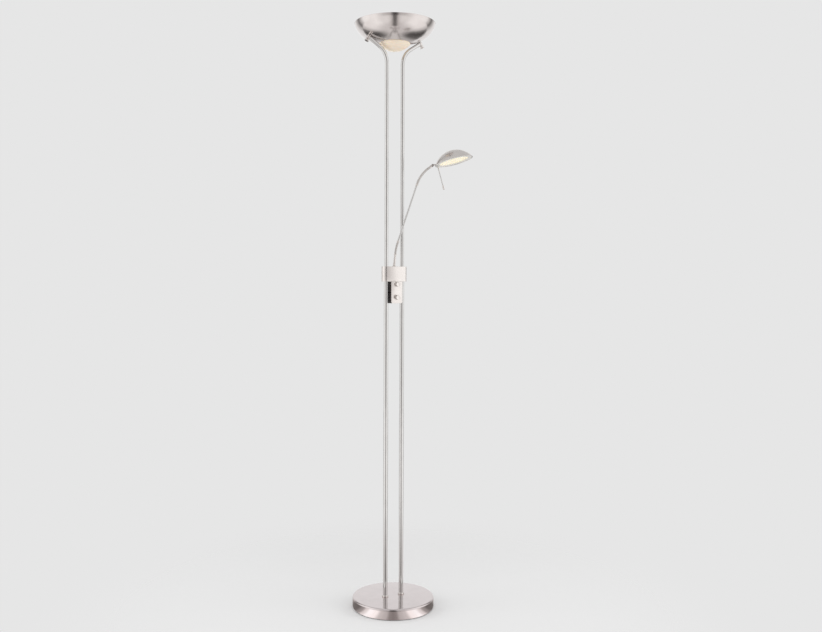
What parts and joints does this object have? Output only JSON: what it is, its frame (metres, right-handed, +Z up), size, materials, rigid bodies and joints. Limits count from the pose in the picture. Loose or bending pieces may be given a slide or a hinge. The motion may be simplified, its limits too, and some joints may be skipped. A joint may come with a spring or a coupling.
{
  "type": "floor lamp",
  "caption": "Twin-pole torchiere floor lamp: wide uplight bowl, frosted glass dome below it, bendable reading arm with an oval tilting head, two dimmer knobs, round weighted base.",
  "frame": {"origin": "centre of the base's underside, on the floor", "axes": "+Z up, the two poles stand along X, the dimmer knobs face -Y; the reading arm leans out at 30 degrees from +X towards -Y"},
  "size_m": [0.3375, 0.2622, 1.8],
  "materials": {
    "satin_nickel": "satin nickel plating",
    "zinc_steel": "zinc plated",
    "cast_iron": "as cast, painted",
    "black_rubber": "matt",
    "cast_alloy": "die cast",
    "bare_aluminium": "plain",
    "black_plastic": "fine texture",
    "black_sheath": "smooth sheath",
    "grey_plastic": "satin, silver grey",
    "circuit_board": "solder mask",
    "light_board": "white solder mask",
    "frosted_glass": "frosted, warm white",
    "opal_plastic": "opal",
    "lens_plastic": "frosted, warm white"
  },
  "bodies": {
    "root": {"base_pad": "black_rubber", "base_plate": "zinc_steel", "base_weight": "cast_iron", "base_cover": "satin_nickel", "cord_grommet": "black_rubber", "base_screws": "zinc_steel", "base_terminal": "black_plastic", "pole_plugs": "zinc_steel", "pole_nuts": "zinc_steel", "foot_collars": "satin_nickel", "lower_pole_left": "satin_nickel", "lower_pole_right": "satin_nickel", "upper_pole_left": "satin_nickel", "upper_pole_right": "satin_nickel", "supply_cable": "black_sheath", "band_sleeve": "satin_nickel", "clamp_block": "cast_alloy", "band_cap": "satin_nickel", "grub_screws": "zinc_steel", "box_body": "black_plastic", "box_front": "satin_nickel", "box_screws": "zinc_steel", "dimmer_controls": "black_plastic", "control_nuts": "zinc_steel", "dimmer_board": "circuit_board", "bowl_washers": "zinc_steel", "arm_eyes": "satin_nickel", "cap_nuts": "satin_nickel", "bowl_screws": "zinc_steel", "bowl": "satin_nickel", "glass_dome": "frosted_glass", "glass_ring": "zinc_steel", "bowl_bridge": "zinc_steel", "heat_sink": "bare_aluminium", "lamp_board": "light_board", "glow_board": "light_board", "opal_cover": "opal_plastic", "arm_bush": "satin_nickel"},
    "upper_dimmer": {"upper_knob": "satin_nickel", "upper_spindle": "zinc_steel"},
    "lower_dimmer": {"lower_knob": "satin_nickel", "lower_spindle": "zinc_steel"},
    "stem": {"arm_stem": "satin_nickel", "stem_clip": "zinc_steel", "lower_gooseneck": "satin_nickel"},
    "arm": {"arm_tube": "satin_nickel", "tube_sleeves": "satin_nickel", "upper_gooseneck": "satin_nickel"},
    "arm_end": {"neck_fork": "satin_nickel", "tilt_screw": "satin_nickel"},
    "neck": {"head_neck": "satin_nickel", "neck_clip": "zinc_steel"},
    "head": {"head_shell": "satin_nickel", "head_frame": "grey_plastic", "head_lens": "lens_plastic", "head_heat_plate": "bare_aluminium", "head_board": "light_board", "head_screws": "zinc_steel", "handle_rod": "satin_nickel", "handle_grip": "satin_nickel"}
  },
  "joints": [
    {"name": "upper_dimmer_turn", "type": "hinge", "parent": "root", "child": "upper_dimmer", "pos_m": [0, -0.0185, 0.9947], "axis": [0, 1, 0], "range_deg": [0, 290]},
    {"name": "lower_dimmer_turn", "type": "hinge", "parent": "root", "child": "lower_dimmer", "pos_m": [0, -0.0185, 0.9544], "axis": [0, 1, 0], "range_deg": [0, 290]},
    {"name": "arm_swivel", "type": "hinge", "parent": "root", "child": "stem", "pos_m": [0, 0, 1.0495], "axis": [0, 0, 1], "range_deg": [-120, 5]},
    {"name": "lower_neck_bend", "type": "hinge", "parent": "stem", "child": "arm", "pos_m": [0.00536, -0.00309, 1.10672], "axis": [0.5, 0.866, 0], "range_deg": [-12, 30], "deforming": ["lower_gooseneck"]},
    {"name": "upper_neck_bend", "type": "hinge", "parent": "arm", "child": "arm_end", "pos_m": [0.07404, -0.04274, 1.33377], "axis": [0.5, 0.866, 0], "range_deg": [-30, 50], "deforming": ["upper_gooseneck"]},
    {"name": "head_tilt", "type": "hinge", "parent": "arm_end", "child": "neck", "pos_m": [0.10294, -0.05943, 1.36278], "axis": [-0.5, -0.866, 0], "range_deg": [-35, 40]},
    {"name": "head_roll", "type": "hinge", "parent": "neck", "child": "head", "pos_m": [0.10294, -0.05943, 1.36278], "axis": [0.8384, -0.4841, 0.2504], "range_deg": [-60, 60]}
  ]
}
